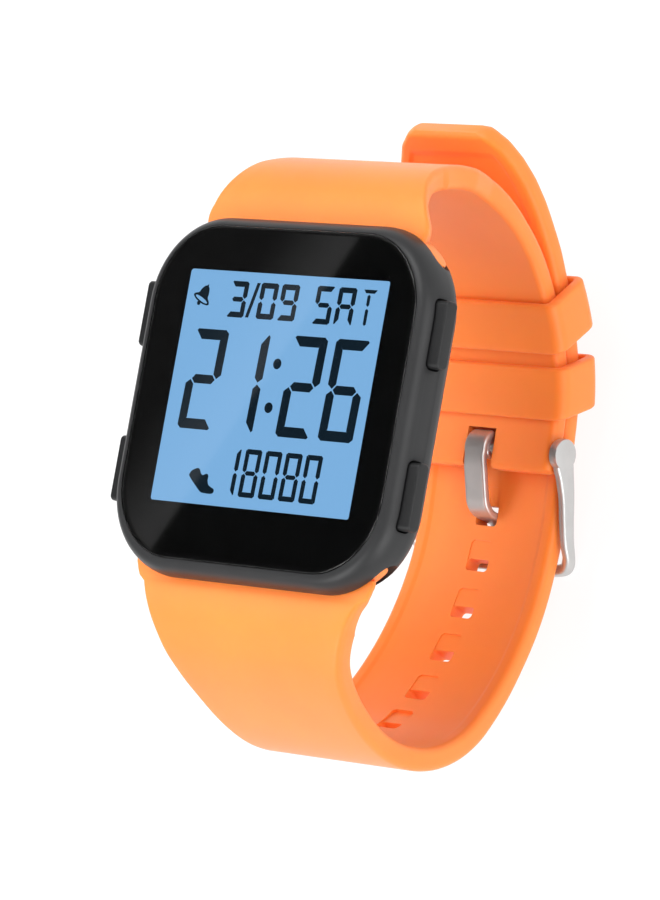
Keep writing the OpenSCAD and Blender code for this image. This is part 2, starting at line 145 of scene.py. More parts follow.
def plate(name, outline, z0, z1, edge, steps):
    """A slab of an outline function outline(inset) with rounded top and bottom edges."""
    # the flat face starts inside the rounded edge, so that it reflects as one plane
    levels = [(edge + 0.3, z0)]
    for k in range(steps + 1):
        a = math.pi / 2 * k / steps
        levels.append((edge * (1 - math.sin(a)), z0 + edge * (1 - math.cos(a))))
    top = [(i, z1 - (z - z0)) for i, z in reversed(levels)]
    return loft(name, [[(x, y, z) for x, y in outline(i)] for i, z in levels + top])


def apply_modifiers(o):
    dg = bpy.context.evaluated_depsgraph_get()
    me = bpy.data.meshes.new_from_object(o.evaluated_get(dg))
    o.modifiers.clear()
    old = o.data
    o.data = me
    me.name = old.name
    bpy.data.meshes.remove(old)


def cut(o, cutters, sharp=35):
    """Takes the cutters out of o, one after the other, and removes them."""
    for c in cutters:
        m = o.modifiers.new("cut", "BOOLEAN")
        m.operation = "DIFFERENCE"
        m.solver = "EXACT"
        m.object = c
        apply_modifiers(o)
        bpy.data.objects.remove(c)
    soften(o, sharp)


def bevel(o, width, segments=2, angle=35, sharp=40):
    m = o.modifiers.new("bevel", "BEVEL")
    m.width = width / 1000
    m.segments = segments
    m.limit_method = "ANGLE"
    m.angle_limit = math.radians(angle)
    m.use_clamp_overlap = True
    apply_modifiers(o)
    soften(o, sharp)


def join(name, parts):
    """One object out of several, each a closed shell."""
    bm = bmesh.new()
    for p in parts:
        bm.from_mesh(p.data)
    me = bpy.data.meshes.new(name)
    bm.to_mesh(me)
    bm.free()
    for p in parts:
        bpy.data.objects.remove(p)
    o = bpy.data.objects.new(name, me)
    bpy.context.scene.collection.objects.link(o)
    return o


def finish_piece(o, body, material, slot, *replaced):
    o.data.materials.clear()
    o.data.materials.append(material)
    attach(o, body)
    if replaced:
        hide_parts(*replaced)
    return o


# ---------------------------------------------------------------- materials

def srgb(h):
    c = [int(h[i:i + 2], 16) / 255 for i in (0, 2, 4)]
    return tuple(x / 12.92 if x <= 0.04045 else ((x + 0.055) / 1.055) ** 2.4 for x in c) + (1.0,)


def material(name, colour, rough=0.5, metal=0.0, spec=0.5, vary=0.06, vary_mm=6.0, grain=0.0,
             grain_mm=0.25, rough_vary=0.05, stretch=None, sss=0.0, radius=(1.0, 0.3, 0.1),
             sss_mm=1.5, coat=0.0, trans=0.0, ior=1.5, emit=0.0, glow=None, scratches=0.0,
             edge=0.0):
    """A Principled surface whose colour, roughness and bump come from procedural noise; edge mixes a
    painted sheen into the colour at grazing view.
    """
    m = bpy.data.materials.new(name)
    m.use_nodes = True
    t = m.node_tree
    b = t.nodes["Principled BSDF"]
    b.inputs["Metallic"].default_value = metal
    b.inputs["Specular IOR Level"].default_value = spec
    b.inputs["Coat Weight"].default_value = coat
    b.inputs["Coat Roughness"].default_value = 0.03
    b.inputs["Transmission Weight"].default_value = trans
    b.inputs["IOR"].default_value = ior
    if sss:
        b.inputs["Subsurface Weight"].default_value = sss
        b.inputs["Subsurface Radius"].default_value = radius
        b.inputs["Subsurface Scale"].default_value = sss_mm / 1000
    coord = t.nodes.new("ShaderNodeTexCoord")
    scale = t.nodes.new("ShaderNodeMapping")
    t.links.new(coord.outputs["Object"], scale.inputs["Vector"])
    if stretch:
        scale.inputs["Scale"].default_value = stretch

    def noise(mm, detail, rough_):
        n = t.nodes.new("ShaderNodeTexNoise")
        n.inputs["Scale"].default_value = 1000 / mm
        n.inputs["Detail"].default_value = detail
        n.inputs["Roughness"].default_value = rough_
        t.links.new(scale.outputs["Vector"], n.inputs["Vector"])
        return n

    broad = noise(vary_mm, 3, 0.5)
    ramp = t.nodes.new("ShaderNodeValToRGB")
    ramp.color_ramp.elements[0].position = 0.3
    ramp.color_ramp.elements[1].position = 0.7
    ramp.color_ramp.elements[0].color = tuple(c * (1 - vary) for c in colour[:3]) + (1,)
    ramp.color_ramp.elements[1].color = tuple(min(1, c * (1 + vary)) for c in colour[:3]) + (1,)
    t.links.new(broad.outputs["Fac"], ramp.inputs["Fac"])
    shade = ramp.outputs["Color"]
    if edge:
        # painted sheen: a pale colour is mixed into the base colour where the surface is seen at a
        # grazing angle
        facing = t.nodes.new("ShaderNodeLayerWeight")
        facing.inputs["Blend"].default_value = 0.25
        painted_sheen = t.nodes.new("ShaderNodeMix")
        painted_sheen.data_type = "RGBA"
        amount = t.nodes.new("ShaderNodeMath")
        amount.operation = "MULTIPLY"
        amount.inputs[1].default_value = edge
        t.links.new(facing.outputs["Facing"], amount.inputs[0])
        t.links.new(amount.outputs["Value"], painted_sheen.inputs["Factor"])
        t.links.new(shade, painted_sheen.inputs["A"])
        painted_sheen.inputs["B"].default_value = tuple(lerp(c, 0.85, 0.5) for c in colour[:3]) + (1,)
        shade = painted_sheen.outputs["Result"]
    t.links.new(shade, b.inputs["Base Color"])
    if glow:
        b.inputs["Emission Color"].default_value = glow
    b.inputs["Emission Strength"].default_value = emit
    fine = noise(grain_mm, 4, 0.6)
    spread = t.nodes.new("ShaderNodeMapRange")
    spread.inputs["To Min"].default_value = max(0.0, rough - rough_vary)
    spread.inputs["To Max"].default_value = min(1.0, rough + rough_vary)
    t.links.new(fine.outputs["Fac"], spread.inputs["Value"])
    rough_out = spread.outputs["Result"]
    if scratches:
        lines = t.nodes.new("ShaderNodeTexNoise")
        lines.inputs["Scale"].default_value = 1000 / 0.12
        lines.inputs["Detail"].default_value = 2
        along = t.nodes.new("ShaderNodeMapping")
        along.inputs["Scale"].default_value = (1.0, 0.06, 0.06)
        t.links.new(coord.outputs["Object"], along.inputs["Vector"])
        t.links.new(along.outputs["Vector"], lines.inputs["Vector"])
        add = t.nodes.new("ShaderNodeMath")
        add.operation = "MULTIPLY_ADD"
        add.inputs[1].default_value = scratches
        t.links.new(lines.outputs["Fac"], add.inputs[0])
        t.links.new(rough_out, add.inputs[2])
        rough_out = add.outputs["Value"]
    t.links.new(rough_out, b.inputs["Roughness"])
    if grain:
        bump = t.nodes.new("ShaderNodeBump")
        bump.inputs["Strength"].default_value = 1.0
        bump.inputs["Distance"].default_value = grain / 1000
        t.links.new(fine.outputs["Fac"], bump.inputs["Height"])
        t.links.new(bump.outputs["Normal"], b.inputs["Normal"])
    return m


# edge=0.22 gives the silicone a painted sheen, a paler base colour at grazing view
SILICONE = material("silicone", (1.0, 0.235, 0.03), rough=0.46, spec=0.42, vary=0.035, vary_mm=9,
                    grain=0.006, grain_mm=0.16, sss=0.22, radius=(1.0, 0.32, 0.08), sss_mm=1.6,
                    edge=0.22)
SHELL = material("case_plastic", (0.024, 0.0243, 0.0252), rough=0.40, spec=0.3, vary=0.10,
                 grain=0.007, grain_mm=0.14, rough_vary=0.07)
BACK = material("back_plastic", (0.02, 0.02, 0.021), rough=0.5, vary=0.1, grain=0.01, grain_mm=0.2)
KEYCAP = material("button_plastic", (0.013, 0.0132, 0.0138), rough=0.45, spec=0.35, vary=0.08,
                  grain=0.01, grain_mm=0.12, rough_vary=0.08)
GLASS = material("mineral_glass", (1.0, 1.0, 1.0), rough=0.012, vary=0.0, rough_vary=0.004,
                 trans=1.0, ior=1.5)
PRINT = material("black_print", (0.010, 0.010, 0.0103), rough=0.6, spec=0.0, vary=0.05, vary_mm=3)
# painted light: the display film glows evenly in its lit blue, standing in for the daylight it reflects
LCD = material("display_film_painted_glow", (0.02, 0.035, 0.06), rough=0.6, spec=0.0, vary=0.02, vary_mm=10,
               emit=1.0, glow=srgb("80B6E6"))
# the ink's dark colour is print; its faint blue glow is a painted reflection
INK = material("display_ink_with_painted_glow", (0.0042, 0.0065, 0.0085), rough=0.5, vary=0.2, vary_mm=2, spec=0.0,
               emit=1.0, glow=(0.005, 0.013, 0.022, 1))
STEEL = material("satin_steel", (0.58, 0.575, 0.567), rough=0.31, metal=0.78, vary=0.04,
                 vary_mm=2.5, grain=0.002, grain_mm=0.1, rough_vary=0.07, scratches=0.12)
BRIGHT = material("plain_steel", (0.6, 0.6, 0.6), rough=0.3, metal=1.0, vary=0.05, vary_mm=1)
GOLD = material("gold_plate", (0.86, 0.6, 0.24), rough=0.25, metal=1.0, vary=0.06, vary_mm=0.8)
SEAL = material("black_rubber", (0.015, 0.015, 0.015), rough=0.65, vary=0.1, grain=0.01)
NATURAL = material("white_plastic", (0.78, 0.78, 0.74), rough=0.5, vary=0.04, grain=0.01)
CLEAR = material("clear_acrylic", (0.86, 0.92, 0.94), rough=0.12, trans=0.85, vary=0.02)
ZEBRA = material("zebra_rubber", (0.6, 0.3, 0.33), rough=0.6, vary=0.35, vary_mm=0.12,
                 stretch=(1.0, 0.02, 0.02))
BOARD = material("solder_mask", (0.012, 0.11, 0.04), rough=0.35, vary=0.3, vary_mm=1.1, coat=0.3)
CHIP = material("chip_resin", (0.018, 0.018, 0.018), rough=0.55, vary=0.1, grain=0.012)
SHIELD = material("tin_shield", (0.62, 0.62, 0.62), rough=0.35, metal=1.0, vary=0.06)
COPPER = material("copper_strip", (0.78, 0.42, 0.22), rough=0.3, metal=1.0, vary=0.08)
CELL = material("foil_pouch", (0.58, 0.6, 0.63), rough=0.38, metal=0.9, vary=0.05, grain=0.05,
                grain_mm=1.5)
SWITCH = material("switch_plastic", (0.5, 0.5, 0.46), rough=0.5, vary=0.05)


def paint(name, mat):
    nodes[name].data.materials.clear()
    nodes[name].data.materials.append(mat)


for names, mat in (
        (["case_back"], BACK),
        (["case_gasket"], SEAL),
        (["case_screws", "strap_screws_upper", "strap_screws_lower", "buckle_bar"], BRIGHT),
        (["charge_contacts"], GOLD),
        (["lens_mask"], PRINT),
        (["lcd_panel"], LCD),
        (["light_guide"], CLEAR),
        (["lcd_frame"], NATURAL),
        (["zebra_upper", "zebra_lower"], ZEBRA),
        (["main_board"], BOARD),
        (["processor"], CHIP),
        (["gps_module"], SHIELD),
        (["gps_antenna"], COPPER),
        (["battery"], CELL),
        (["buzzer"], GOLD)):
    for n in names:
        paint(n, mat)
for key in ("light", "start", "up", "down"):
    for part, mat in (("clip_", BRIGHT), ("oring_", SEAL), ("switch_", SWITCH)):
        paint(part + key, mat)

# ---------------------------------------------------------------- case

CASE_W, CASE_H, CASE_R = 45.0, 42.5, 10.5
GLASS_W, GLASS_H, GLASS_R = 41.2, 39.2, 9.2
SLOT_TOP, SLOT_END, SLOT_Y = -2.9, -5.95, 16.9
BUTTON_Y, BUTTON_Z = 9.25, -2.6
BUTTON_L, BUTTON_H, BUTTON_FACE = 7.8, 1.8, 23.8
# the rounded shoulder of the shell: its top, how far it runs in and down, and the end of the wall
SHELL_TOP, SHOULDER_IN, SHOULDER_DROP, WALL_END = -0.1, 1.8, 2.9, -3.8
# width and height of the window in the print, and of the film behind it
WINDOW_W, WINDOW_H, FILM_W, FILM_H = 31.7, 27.4, 33, 29
# lower and upper face of the thin layers under the glass
PRINT_Z, FILM_Z, SEGMENT_Z = (-0.6, -0.505), (-0.74, -0.71), (-0.705, -0.66)


def case_ring(inset, z, n=16):
    return [(x, y, z) for x, y in
            arc_rect(CASE_W - 2 * inset, CASE_H - 2 * inset, CASE_R - inset, n)]


def block(name, x0, x1, y0, y1, z0, z1):
    v = [(x, y, z) for z in (z0, z1) for x, y in ((x0, y0), (x1, y0), (x1, y1), (x0, y1))]
    return mesh_piece(name, v, [(3, 2, 1, 0), (4, 5, 6, 7), (0, 1, 5, 4), (1, 2, 6, 5),
                                (2, 3, 7, 6), (3, 0, 4, 7)])


def slot_outline(n=10):
    """(y, z) of the slot seen from the side: it ends in a half circle."""
    r = (SLOT_TOP - SLOT_END) / 2
    mid = (SLOT_TOP + SLOT_END) / 2
    out = [(30, SLOT_TOP), (30, SLOT_END)]
    for k in range(n + 1):
        a = math.radians(270 - 180 * k / n)
        out.append((SLOT_Y + r + r * math.cos(a), mid + r * math.sin(a)))
    return out


def bezier(p0, p1, p2, p3, t):
    return tuple((1 - t) ** 3 * a + 3 * (1 - t) ** 2 * t * b + 3 * (1 - t) * t * t * c + t ** 3 * d
                 for a, b, c, d in zip(p0, p1, p2, p3))


def build_case():
    # the profile is (inset, z), from the shoulder down to the underside
    profile = []
    for k in range(11):
        a = math.pi / 2 * k / 10
        profile.append((SHOULDER_IN * (1 - math.sin(a)),
                        SHELL_TOP - SHOULDER_DROP * (1 - math.cos(a))))
    profile.append((0.0, WALL_END))
    underside = (0, WALL_END), (-0.2, -5.8), (2.4, -7.1), (4.9, -9.38)
    profile += [bezier(*underside, k / 8) for k in range(1, 9)]
    # a fine lip between the glass and the shoulder
    rings = [case_ring(2.6, SHELL_TOP), case_ring(2.0, SHELL_TOP)]
    rings += [case_ring(i, z) for i, z in profile]
    shell = loft("case_shell", rings)
    cutters = []
    pocket = [[(x, y + GLASS_SHIFT, z) for x, y in
               arc_rect(GLASS_W + 0.16, GLASS_H + 0.16, GLASS_R + 0.08, 14)] for z in (-0.72, 1)]
    cutters.append(loft("glass_pocket", pocket))
    for s in (1, -1):
        # the slot follows the corner: a slab outside an inner wall of the same outline
        inner = [[(x, y, z) for x, y in arc_rect(CASE_W - 8.8, CASE_H - 8.8, CASE_R - 4.4, 12)]
                 for z in (SLOT_END - 1, SLOT_TOP + 1)]
        slab = loft("slot", [[(x, s * y, z) for y, z in slot_outline()] for x in (-30, 30)])
        cut(slab, [loft("slot_wall", inner)])
        cutters.append(slab)
    for sx in (1, -1):
        for sy in (1, -1):
            pocket = arc_rect(BUTTON_L + 0.44, BUTTON_H + 0.44, 0.75, 5)
            rings = [[(sx * x, sy * BUTTON_Y + y, BUTTON_Z + z) for y, z in pocket]
                     for x in (20.9, 24)]
            cutters.append(loft("button_pocket", rings))
    cut(shell, cutters, sharp=30)
    bevel(shell, 0.13, 2, 40, 50)
    finish_piece(shell, "watch", SHELL, "case", "case_body")


def build_glass():
    def outline(i):
        return [(x, y + GLASS_SHIFT) for x, y in
                arc_rect(GLASS_W - 2 * i, GLASS_H - 2 * i, GLASS_R - i, 14)]

    glass = plate("glass_front", outline, -0.5, 0.0, 0.16, 4)
    finish_piece(glass, "watch", GLASS, "glass", "lens")
    # printed border on the underside of the glass, with the display's window in it
    border = loft("glass_print", [[(x, y, z) for x, y in outline(0.05)] for z in PRINT_Z])
    window = [[(x, y + LCD_Y, z) for x, y in arc_rect(WINDOW_W, WINDOW_H, 0.25, 3)] for z in (-2, 1)]
    cut(border, [loft("window", window)])
    finish_piece(border, "watch", PRINT, "mask")
    film = [[(x, y + LCD_Y, z) for x, y in arc_rect(FILM_W, FILM_H, 0.3, 3)] for z in FILM_Z]
    finish_piece(loft("display_face", film), "watch", LCD, "lcd")


# ---------------------------------------------------------------- display

SLANT = math.tan(math.radians(1.3))


def segments(which, cx, cy, w, h, t, gap):
    """Mitred seven-segment shapes; w and h are between the stroke centres."""
    hw, hh, ht = w / 2, h / 2, t / 2
    g = gap / 2
    # how much is cut off an outer corner
    c = 0.30 * t
    shapes = {
        "a": [(-hw - ht + g + c, hh + ht), (hw + ht - g - c, hh + ht),
              (hw + ht - g - c * 0.4, hh + ht - c * 0.6), (hw - ht + g * 0.4, hh - ht),
              (-hw + ht - g * 0.4, hh - ht), (-hw - ht + g + c * 0.4, hh + ht - c * 0.6)],
        "g": [(-hw + ht * 0.25 + g, 0), (-hw + ht * 1.05 + g, ht * 0.86),
              (hw - ht * 1.05 - g, ht * 0.86), (hw - ht * 0.25 - g, 0),
              (hw - ht * 1.05 - g, -ht * 0.86), (-hw + ht * 1.05 + g, -ht * 0.86)],
        "b": [(hw + ht, hh + ht * 0.35), (hw + ht * 0.62, hh + ht - g * 1.2 - c * 0.2),
              (hw - ht, hh - ht - g * 0.9), (hw - ht, ht * 0.9 + g), (hw - ht * 0.1, g * 1.1),
              (hw + ht, ht * 0.8 + g)],
    }
    shapes["d"] = [(x, -y) for x, y in shapes["a"]]
    shapes["f"] = [(-x, y) for x, y in shapes["b"]]
    shapes["c"] = [(x, -y) for x, y in shapes["b"]]
    shapes["e"] = [(-x, y) for x, y in shapes["c"]]
    return [[(cx + x + (cy + y) * SLANT, cy + y) for x, y in shapes[k]] for k in which]


DIGITS = {"0": "abcdef", "1": "bc", "2": "abged", "3": "abgcd", "6": "afgecd", "8": "abcdefg",
          "9": "abfgcd", "S": "afgcd", "A": "abcefg"}


def blob(cx, cy, points, turn, size):
    """A smooth closed outline through the points, turned by degrees, scaled and moved."""
    a = math.radians(turn)
    outline = curve(points + points[:1], 4)[:-1]
    return [(cx + size * (p.x * math.cos(a) - p.y * math.sin(a)),
             cy + size * (p.x * math.sin(a) + p.y * math.cos(a))) for p in outline]


def circle(cx, cy, r, n=28):
    return [(cx + r * math.cos(2 * math.pi * k / n), cy + r * math.sin(2 * math.pi * k / n))
            for k in range(n)]


def build_display():
    shapes = []
    # places and sizes follow a scratch script's printout of the display, rounded and altered by hand
    small = dict(w=2.1, h=3.6, t=0.66, gap=0.15)
    for ch, x in (("3", -7.78), ("0", -3.03), ("9", 0.30)):
        shapes += segments(DIGITS[ch], x, 10.45, **small)
    shapes.append([(-5.90, 8.40), (-5.42, 8.40), (-4.36, 12.50), (-4.84, 12.50)])
    for ch, x in (("S", 5.84), ("A", 9.23)):
        shapes += segments(DIGITS[ch], x, 10.45, w=2.1, h=3.8, t=0.64, gap=0.15)
    shapes.append([(11.95, 12.58), (13.98, 12.58), (13.62, 12.16), (12.31, 12.16)])
    for y0, y1 in ((10.62, 12.02), (8.40, 10.38)):
        shapes.append([(12.62, y0 + 0.2), (12.84, y0), (13.06, y0 + 0.2), (13.06, y1 - 0.2),
                       (12.84, y1), (12.62, y1 - 0.2)])
    large = dict(w=4.16, h=10.56, t=1.22, gap=0.22)
    for ch, x in (("2", -10.78), ("1", -4.13), ("2", 4.93), ("6", 11.60)):
        shapes += segments(DIGITS[ch], x, 0.85, **large)
    shapes += [circle(0.50, 3.30, 0.62), circle(0.36, -1.82, 0.62)]
    bottom = dict(w=1.95, h=5.0, t=0.6, gap=0.15)
    for ch, x in (("1", -3.77), ("8", -0.47), ("0", 2.72), ("8", 5.90), ("0", 9.08)):
        shapes += segments(DIGITS[ch], x, -9.57, **bottom)
    # bell: dome with a crown, a pale flared rim and a clapper, all leaning to the right
    lean = -24
    bell = (-13.15, 10.65)
    dome = [(-1.2, -0.3), (-0.75, 0.0), (-0.6, 0.5), (-0.35, 0.95), (-0.12, 1.1), (0, 1.3), (0.12, 1.1),
            (0.35, 0.95), (0.6, 0.5), (0.75, 0.0), (1.2, -0.3), (0.6, -0.2), (0, -0.15), (-0.6, -0.2)]
    shapes.append(blob(*bell, dome, lean, 1.1))
    shapes.append(blob(*bell, circle(-0.1, -0.98, 0.24, 8), lean, 1.1))
    rim_out, rim_in = [blob(*bell, [(w * math.cos(a), -0.48 + h * math.sin(a))
                                    for a in [math.pi * k / 6 for k in range(12)]], lean, 1.1)
                       for w, h in ((1.3, 0.38), (1.02, 0.2))]
    # running shoe seen from the side, toe down to the right
    shoe = [(-2.2, -0.3), (-2.1, 0.3), (-1.5, 0.95), (-1.1, 1.0), (-0.6, 0.7), (-0.2, 0.7),
            (0.2, 1.1), (0.6, 1.0), (0.8, 0.55), (1.2, 0.2), (1.7, 0.15), (2.3, 0.15),
            (2.45, -0.2), (2.1, -0.55), (1.0, -1.0), (0.4, -1.05), (-1.6, -0.55)]
    shapes.append(blob(-8.15, -11.0, shoe, -24, 1.0))
    z0, z1 = SEGMENT_Z
    verts, faces = [], []
    for s in shapes:
        k, n = len(verts), len(s)
        verts += [(x, y + LCD_Y, z0) for x, y in s] + [(x, y + LCD_Y, z1) for x, y in s]
        faces.append(tuple(range(k + n - 1, k - 1, -1)))
        faces.append(tuple(range(k + n, k + 2 * n)))
        faces += [(k + i, k + (i + 1) % n, k + n + (i + 1) % n, k + n + i) for i in range(n)]
    k, n = len(verts), len(rim_out)
    for ring in (rim_out, rim_in):
        for z in (z0, z1):
            verts += [(x, y + LCD_Y, z) for x, y in ring]
    for i in range(n):
        j = (i + 1) % n
        ob, ot, ib, it = k, k + n, k + 2 * n, k + 3 * n
        faces += [(ot + i, ot + j, it + j, it + i), (ib + i, ib + j, ob + j, ob + i),
                  (ob + i, ob + j, ot + j, ot + i), (it + i, it + j, ib + j, ib + i)]
    finish_piece(mesh_piece("display_segments", verts, faces), "watch", INK, "mask")


# ---------------------------------------------------------------- buttons

def build_buttons():
    for key, sx, sy in (("light", -1, 1), ("start", 1, 1), ("up", -1, -1), ("down", 1, -1)):
        rings = []
        edge = 0.3
        levels = [(21.5, 0.0)]
        for k in range(5):
            a = math.pi / 2 * k / 4
            levels.append((BUTTON_FACE - edge * (1 - math.sin(a)), edge * (1 - math.cos(a))))
        for x, inset in levels:
            outline = arc_rect(BUTTON_L - 2 * inset, BUTTON_H - 2 * inset, 0.6 - inset * 0.8, 5)
            rings.append([(sx * x, sy * BUTTON_Y + y, BUTTON_Z + z) for y, z in outline])
        cap = loft("button_cap_" + key, rings)
        stem = []
        for x in (18.1, 21.6):
            stem.append([(sx * x, sy * BUTTON_Y + 0.68 * math.cos(a), BUTTON_Z + 0.68 * math.sin(a))
                         for a in [2 * math.pi * k / 20 for k in range(20)]])
        pin = loft("stem", stem)
        body = join("button_cap_" + key, [cap, pin])
        soften(body, 40)
        finish_piece(body, "button_" + key, KEYCAP, "button", "button_" + key)


# ---------------------------------------------------------------- straps

LOOP_Y, LOOP_Z, LOOP_R, STRAP_T = 2.8, -12.1, 25.5, 2.4
TAIL_R = LOOP_R + STRAP_T + 0.1
RECESS = 0.2
# the first five holes lie on a bend about this middle, one pitch apart
HOLE_PITCH, HOLE_BEND, HOLE_Y, HOLE_Z = 6, 36, -7.9, -4.9


def run_path(path, start, heading, thickness, step=0.6):
    """Stations (y, z, heading, thickness) along tangent arcs; steps are [radius, sweep, end t]."""
    y, z = start
    h = math.radians(heading)
    t = thickness
    out = [(y, z, h, t)]
    for r, sweep, t1 in path:
        length = sweep if r == 0 else r * math.radians(abs(sweep))
        n = max(1, math.ceil(length / step))
        y0, z0, h0, t0 = y, z, h, t
        for k in range(1, n + 1):
            f = k / n
            if r == 0:
                y, z, h = y0 + sweep * f * math.cos(h0), z0 + sweep * f * math.sin(h0), h0
            else:
                s = math.copysign(1, sweep)
                h = h0 + math.radians(sweep) * f
                y = y0 + r * s * (math.sin(h) - math.sin(h0))
                z = z0 + r * s * (math.cos(h0) - math.cos(h))
            t = lerp(t0, t1, f)
            out.append((y, z, h, t))
    return out


def settle(stations, dy, dz):
    """Stations below the case moved by (dy, dz), eased in and out along the strap."""
    out = []
    s = 0.0
    for i, (y, z, h, t) in enumerate(stations):
        if i:
            s += math.hypot(y - stations[i - 1][0], z - stations[i - 1][1])
        f = smoothstep(3, 9, s) * (1 - smoothstep(15, 27, s))
        out.append((y + dy * f, z + dz * f, h, t))
    return out


def smooth(values, reach):
    """Running mean over reach neighbours on both sides."""
    out = []
    for i in range(len(values)):
        lo, hi = max(0, i - reach), min(len(values) - 1, i + reach)
        span = min(i - lo, hi - i)
        part = values[i - span:i + span + 1]
        out.append(sum(part) / len(part))
    return out


def strap_section(w, t, recess=0.0, inset=1.9, r=0.85, n=6, tuck=0.0):
    """(x, depth) round a strap; depth 0 is the inner face."""
    r = min(r, t / 2 - 0.05, w - 0.3)
    flat = w - r
    edge = max(0.6, w - inset)
    xs = [-flat]
    xs += [lerp(-flat, -edge - 0.25, f) for f in (0.35, 0.7)]
    inner = [(x, 0.0) for x in xs]
    step = [(0.2, 0.0), (0.05, 0.2), (-0.25, 0.8), (-0.45, 1.0)]
    inner += [(-edge - dx, recess * f) for dx, f in step]
    inner += [(lerp(-edge + 0.45, edge - 0.45, k / 10), recess) for k in range(1, 10)]
    inner += [(edge + dx, recess * f) for dx, f in reversed(step)]
    inner += [(-x, 0.0) for x in reversed(xs)]
    right = []
    for k in range(1, n + 1):
        a = math.radians(-90 + 90 * k / n)
        right.append((flat + r * math.cos(a), r + r * math.sin(a)))
    for k in range(n):
        a = math.radians(90 * k / n)
        right.append((flat + r * math.cos(a), t - r + r * math.sin(a)))
    outer = [(lerp(flat, -flat, k / 12), t) for k in range(13)]
    left = [(-x, d) for x, d in reversed(right)]
    ring = inner + right + outer + left
    return [(x * (1 - tuck / w * (1 - d / t)), d) for x, d in ring] if tuck else ring


def strap_mesh(name, stations, width, recess, round_start=True, round_end=True, tuck=None):
    rings = []
    lengths = [0.0]
    for a, b in zip(stations, stations[1:]):
        lengths.append(lengths[-1] + math.hypot(b[0] - a[0], b[1] - a[1]))
    total = lengths[-1]
    for i, (y, z, h, t) in enumerate(stations):
        s = lengths[i]
        w = width(i, s, total)
        near = min(s if round_start else 9, total - s if round_end else 9)
        shrink = 0.0
        if near < 0.7:
            shrink = 0.7 - math.sqrt(max(0.0, 0.49 - (0.7 - near) ** 2))
        ring = []
        tucked = tuck(y, z) if tuck else 0.0
        for x, d in strap_section(w - shrink * 0.7, t - 1.2 * shrink, recess(i, s, total), tuck=tucked):
            d += 0.6 * shrink
            ring.append((x, y + d * math.sin(h), z - d * math.cos(h)))
        rings.append(ring)
    return loft(name, rings, sharp=38)


def ear(name, side, back_set, z_low):
    """The lip of the strap that lies in the case slot; it runs round both corners to round ends."""
    cx, cy = CASE_W / 2 - CASE_R, CASE_H / 2 - CASE_R
    r_out, r_in = CASE_R - back_set, CASE_R - 2.8
    z_high = SLOT_TOP - 0.06
    first = math.asin((17.35 - cy) / r_out)
    arc = [lerp(first, math.pi / 2, k / 26) for k in range(27)]
    line = [(cx, cy, a) for a in arc] + [(x, cy, math.pi / 2) for x in (6, 0, -6)]
    line += [(-cx, cy, math.pi - a) for a in reversed(arc)]
    rings = []
    for ox, oy, a in line:
        turned = min(a, math.pi - a)
        from_end = (turned - first) * r_out
        cap = (z_high - z_low) / 2
        f = 1.0 if from_end >= cap else math.sqrt(max(0.0, 1 - (1 - from_end / cap) ** 2))
        f = max(f, 0.12)
        high, mid = cap * f, (z_high + z_low) / 2
        section = arc_rect(r_out - r_in, 2 * high, min(0.45, 0.9 * high), 4)
        rings.append([(ox + ((r_out + r_in) / 2 + u) * math.cos(a),
                       side * (oy + ((r_out + r_in) / 2 + u) * math.sin(a)), mid + v)
                      for u, v in section])
    return loft(name, rings, sharp=40)


def hole_tools(y, z, a, hole_l=1.5, deep=0.12, hole_w=3.4, ramp=2.3):
    """Cutters for one hole: the hole itself and the slope that leads the tongue in."""
    ca, sa = math.cos(a), math.sin(a)

    def at(x, v, u):
        return (x, y + v * ca - u * sa, z + v * sa + u * ca)

    outline = arc_rect(hole_w, hole_l, 0.5, 5)
    yield loft("hole", [[at(x, v, u) for x, v in outline] for u in (-6, 1.5)])
    rings = []
    for k in range(9):
        f = k / 8
        v = hole_l / 2 - 0.4 + (ramp + 0.4) * f
        squeeze = 0.0 if f < 0.8 else 0.5 - math.sqrt(max(0, 0.25 - (0.5 * (f - 0.8) / 0.2) ** 2))
        half = hole_w / 2 - squeeze * 0.9
        u = -RECESS - lerp(deep, 0.04, f)
        rings.append([at(-half, v, u), at(half, v, u), at(half, v, 1.2), at(-half, v, 1.2)])
    yield loft("ramp", rings)


